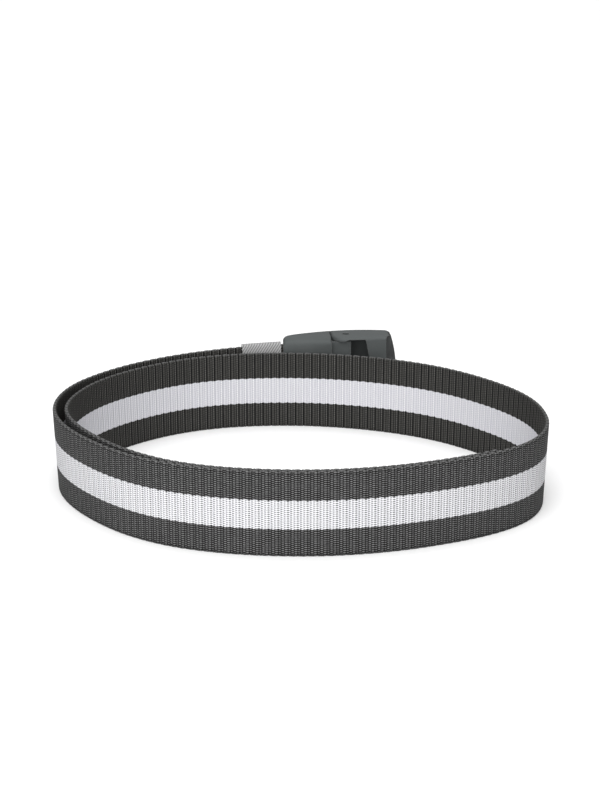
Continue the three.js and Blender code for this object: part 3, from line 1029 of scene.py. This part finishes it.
yarn, given, result = start_group(
    "yarn_variation",
    {"Place": "Vector", "Fineness": "Float"},
    {"Speckle": "Float", "Drift": "Float"},
)
for label, scale, detail, roughness in (
    ("Speckle", given["Fineness"], 3.0, 0.6),
    ("Drift", DRIFT_SCALE, 2.0, 0.5),
):
    noise = {"Vector": given["Place"], "Scale": scale, "Detail": detail, "Roughness": roughness}
    cloud = add_node(yarn, "TexNoise", noise).outputs["Fac"]
    yarn.links.new(ramp(yarn, cloud, 0.3, 0.7), result[label])
print("yarn group:", len(yarn.nodes), "nodes")

# %% [markdown]
# The webbing's colours are mixed by those masks: the floats get a painted highlight, and the
# grooves, holes and edge gaps a painted shade. The charcoal and the white are each mixed on their
# own, and the band's mask chooses between them last. An image of the cloth would be quicker to
# make, but it would repeat, and blur when looked at closely.

# %% Webbing material
def blend(tree, share, a, b):
    """The number a where share is 0 and b where it is 1."""
    return maths(tree, "MULTIPLY_ADD", share, maths(tree, "SUBTRACT", b, a), a)


# Painted shade for holes, grooves and gaps: near black in the charcoal, lilac grey in the white
PAINTED_GAP_SHADE, SHADE_IN_WHITE = grey(0.002), (0.4, 0.39, 0.45, 1)
# The charcoal yarn in painted shade between floats, and its floats with a painted highlight, inside
# and outside
INNER_CHARCOAL_SHADED, OUTER_CHARCOAL_SHADED = (0.03, 0.0292, 0.027, 1), grey(0.01)
INNER_FLOAT_HIGHLIGHT, OUTER_FLOAT_HIGHLIGHT, DULL_FLOAT_HIGHLIGHT = (0.14, 0.138, 0.13, 1), grey(0.195), grey(0.075)
LOOP_HIGHLIGHT = grey(0.13)
# The white between floats in painted shade, and the white floats
INNER_WHITE_SHADED, OUTER_WHITE_SHADED = (0.54, 0.54, 0.585, 1), (0.53, 0.53, 0.573, 1)
WHITE_FLOAT = (0.8, 0.8, 0.812, 1)
YARN_FINENESS = 2600.0
WEAVE_HEIGHT = 0.15

webbing, tree, cloth = start_material("webbing_cloth")
place = add_node(tree, "UVMap", uv_map="flat").outputs[0]
face = add_node(tree, "Attribute", attribute_name="outer_face").outputs["Fac"]
inside = use_group(tree, inner_weave, {"Place": place})
outside = use_group(tree, outer_weave, {"Place": place})
floats_and_highlight, groove_shade, gaps, height, chance = [
    blend(tree, face, inside[label], outside[label]) for label in WEAVE_MASKS
]
edges = use_group(tree, bands, {"Place": place})
solid_place = add_node(tree, "TexCoord").outputs["Object"]
yarns = use_group(tree, yarn, {"Place": solid_place, "Fineness": YARN_FINENESS})

# The charcoal in painted shade between the floats, and the floats' painted highlight
charcoal = mix(tree, face, INNER_CHARCOAL_SHADED, OUTER_CHARCOAL_SHADED)
float_highlight_colour = mix(tree, face, INNER_FLOAT_HIGHLIGHT, OUTER_FLOAT_HIGHLIGHT)
float_highlight_colour = mix(tree, times(tree, chance, 0.4), float_highlight_colour, DULL_FLOAT_HIGHLIGHT)
charcoal = mix(tree, floats_and_highlight, charcoal, float_highlight_colour)
# Painted shade in the grooves and holes
charcoal = mix(tree, maths(tree, "MAXIMUM", groove_shade, gaps), charcoal, PAINTED_GAP_SHADE)
# Painted highlight on the selvedge loops, then painted shade in the gaps below them
charcoal = mix(tree, edges["Loops"], charcoal, LOOP_HIGHLIGHT)
gap_share = times(tree, edges["Gaps"], blend(tree, face, 0.4, 0.9))
charcoal = mix(tree, gap_share, charcoal, PAINTED_GAP_SHADE)

# The white between the floats in painted shade, and the white floats
white = mix(tree, floats_and_highlight, mix(tree, face, INNER_WHITE_SHADED, OUTER_WHITE_SHADED), WHITE_FLOAT)
# Painted shade in the white band's grooves and holes
groove_share = times(tree, groove_shade, blend(tree, face, 0.3, 0.1))
white = mix(tree, groove_share, white, SHADE_IN_WHITE)
white = mix(tree, gaps, white, mix(tree, face, SHADE_IN_WHITE, grey(0.03)))

colour = mix(tree, edges["White"], charcoal, white)
tone = mix(tree, edges["White"], grey(0.02), grey(0.6))
for label, share in (("Speckle", 0.25), ("Drift", 0.12)):
    colour = mix(tree, times(tree, yarns[label], share), colour, tone)
tree.links.new(colour, cloth["Base Color"])
cloth["Roughness"].default_value = 0.9
cloth["Specular IOR Level"].default_value = 0.12
relief = maths(tree, "ADD", height, times(tree, yarns["Speckle"], 0.15))
bumps = {"Height": relief, "Distance": WEAVE_HEIGHT * MM, "Strength": 0.8}
tree.links.new(add_node(tree, "Bump", bumps).outputs[0], cloth["Normal"])
strap.data.materials.append(webbing)
print("webbing material:", len(tree.nodes), "nodes")

# %% [markdown]
# The keeper's tape is light grey, with painted shade in the lines between its ridges. The lines
# come from the same cosine as the ridges in the mesh, so the two always lie together. A bump adds
# fibres.

# %% Keeper material
RIDGE_GAP_SHADE, TAPE_GREY, FIBRE_GREY = grey(0.13), grey(0.4), grey(0.3)
TAPE_FINENESS = 2200.0
FIBRE_HEIGHT = 0.12

twill, tree, cloth = start_material("twill_tape")
place = add_node(tree, "UVMap", uv_map="flat").outputs[0]
split = add_node(tree, "SeparateXYZ", {"Vector": place}).outputs
yarns = use_group(tree, yarn, {"Place": place, "Fineness": TAPE_FINENESS})
slope = maths(tree, "ADD", split["X"], maths(tree, "DIVIDE", split["Y"], math.tan(TWILL_SLANT)))
turns_per_metre = 2 * math.pi * math.sin(TWILL_SLANT) / (TWILL_PITCH * MM)
ridge = maths(tree, "COSINE", times(tree, slope, turns_per_metre))
ridge = ramp(tree, ridge, -1.0, 0.4)
# Painted shade in the lines between the ridges
colour = mix(tree, ridge, RIDGE_GAP_SHADE, TAPE_GREY)
colour = mix(tree, times(tree, yarns["Speckle"], 0.4), colour, FIBRE_GREY)
tree.links.new(colour, cloth["Base Color"])
cloth["Roughness"].default_value = 0.92
cloth["Sheen Weight"].default_value = 0.1
relief = maths(tree, "ADD", ridge, yarns["Speckle"])
bumps = {"Height": relief, "Distance": FIBRE_HEIGHT * MM, "Strength": 0.8}
tree.links.new(add_node(tree, "Bump", bumps).outputs[0], cloth["Normal"])
keeper.data.materials.append(twill)
print("keeper material:", len(tree.nodes), "nodes")

# %% [markdown]
# The buckle is coated a satin grey: not a mirror, with faint clouding, and paler along its
# edges, where wear and a painted highlight lighten it. The wear and highlight group finds an edge
# with a Bevel node, which tells how far the rounded normal turns away from the true one. The same
# rounded normal softens the edges that the cuts left sharp. The marked wall of the far end is
# darker with a painted shade.

# %% Metal
EDGE_REACH = 0.4
# A painted shade for the far end's wall, and the pale colour of worn edges with a painted highlight
END_WALL_SHADE, EDGE_WEAR_AND_HIGHLIGHT = grey(0.008), grey(0.27)
METAL_CLOUDS, METAL_GRAIN, GRAIN_HEIGHT = 110.0, 2400.0, 0.02

wear_and_highlight, given, result = start_group(
    "metal_wear_and_highlight",
    {"Place": "Vector", "Edge": "Float"},
    {"Edges": "Float", "Clouds": "Float", "Grain": "Float", "Rounded": "Vector"},
)
rounded = add_node(wear_and_highlight, "Bevel", {"Radius": given["Edge"]}, samples=4).outputs[0]
true = add_node(wear_and_highlight, "NewGeometry").outputs["True Normal"]
both = {0: rounded, 1: true}
turned = add_node(wear_and_highlight, "VectorMath", both, operation="DOT_PRODUCT").outputs["Value"]
noise = {"Vector": given["Place"], "Scale": METAL_CLOUDS, "Detail": 4.0}
clouds = add_node(wear_and_highlight, "TexNoise", noise).outputs["Fac"]
noise = {"Vector": given["Place"], "Scale": METAL_GRAIN, "Detail": 2.0}
grain = add_node(wear_and_highlight, "TexNoise", noise).outputs["Fac"]
# The edge mask, which lightens edges with wear and a painted highlight
wear_and_highlight.links.new(ramp(wear_and_highlight, turned, 0.8, 0.99, 1, 0), result["Edges"])
wear_and_highlight.links.new(ramp(wear_and_highlight, clouds, 0.3, 0.7), result["Clouds"])
wear_and_highlight.links.new(grain, result["Grain"])
wear_and_highlight.links.new(rounded, result["Rounded"])


def metal(name, dull, bright, roughness):
    """A satin metal whose colour drifts between a dull and a bright tone."""
    material, tree, surface = start_material(name)
    place = add_node(tree, "TexCoord").outputs["Object"]
    wear_and_light = use_group(tree, wear_and_highlight, {"Place": place, "Edge": EDGE_REACH * MM})
    colour = mix(tree, times(tree, wear_and_light["Clouds"], 0.5), dull, bright)
    # The marked far end wall is painted darker, as shade
    on_end = add_node(tree, "Attribute", attribute_name="shaded_end_wall").outputs["Fac"]
    colour = mix(tree, times(tree, on_end, 0.7), colour, END_WALL_SHADE)
    # Paler edges from wear and a painted highlight
    colour = mix(tree, times(tree, wear_and_light["Edges"], 0.7), colour, EDGE_WEAR_AND_HIGHLIGHT)
    tree.links.new(colour, surface["Base Color"])
    surface["Metallic"].default_value = 0.2
    surface["Specular IOR Level"].default_value = 0.02
    gloss = ramp(tree, wear_and_light["Clouds"], 0, 1, roughness - 0.05, roughness + 0.08)
    tree.links.new(gloss, surface["Roughness"])
    bumps = {"Height": wear_and_light["Grain"], "Distance": GRAIN_HEIGHT * MM, "Strength": 0.5}
    bumps["Normal"] = wear_and_light["Rounded"]
    tree.links.new(add_node(tree, "Bump", bumps).outputs[0], surface["Normal"])
    print(name + ":", len(tree.nodes), "nodes")
    return material


BUCKLE_DULL, BUCKLE_BRIGHT = (0.083, 0.09, 0.09, 1), (0.101, 0.108, 0.109, 1)
buckle_metal = metal("satin_grey_metal", BUCKLE_DULL, BUCKLE_BRIGHT, 0.5)
pin_metal = metal("dark_pin_metal", grey(0.015), grey(0.03), 0.4)
for piece, finish in ((jaw, buckle_metal), (tray, buckle_metal), (pin, pin_metal)):
    piece.data.materials.clear()
    piece.data.materials.append(finish)

# %% [markdown]
# The floor is plain white and gives off a little light of its own, because in the photograph
# the background is almost evenly white, and the light of the lamps alone would leave it grey.

# %% Floor material
FLOOR_GLOW = 0.065

ground, tree, surface = start_material("white_floor")
surface["Base Color"].default_value = grey(0.9)
surface["Roughness"].default_value = 0.9
surface["Emission Color"].default_value = grey(1)
surface["Emission Strength"].default_value = FLOOR_GLOW
floor.data.materials.append(ground)
print("floor glow:", FLOOR_GLOW)

# %% [markdown]
# Each piece rides on its body and stands for the solid it replaces, which is hidden.

# %% Tie the pieces to the solid model
for piece, body, node, slot in (
    (strap, "belt", "strap", "webbing"),
    (keeper, "belt", "keeper_loop", "twill"),
    (jaw, "belt", "buckle_jaw", "buckle_metal"),
    (tray, "frame", "buckle_frame", "buckle_metal"),
    (pin, "belt", "hinge_pin", "pin_metal"),
):
    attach(piece, body)
    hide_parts(node)
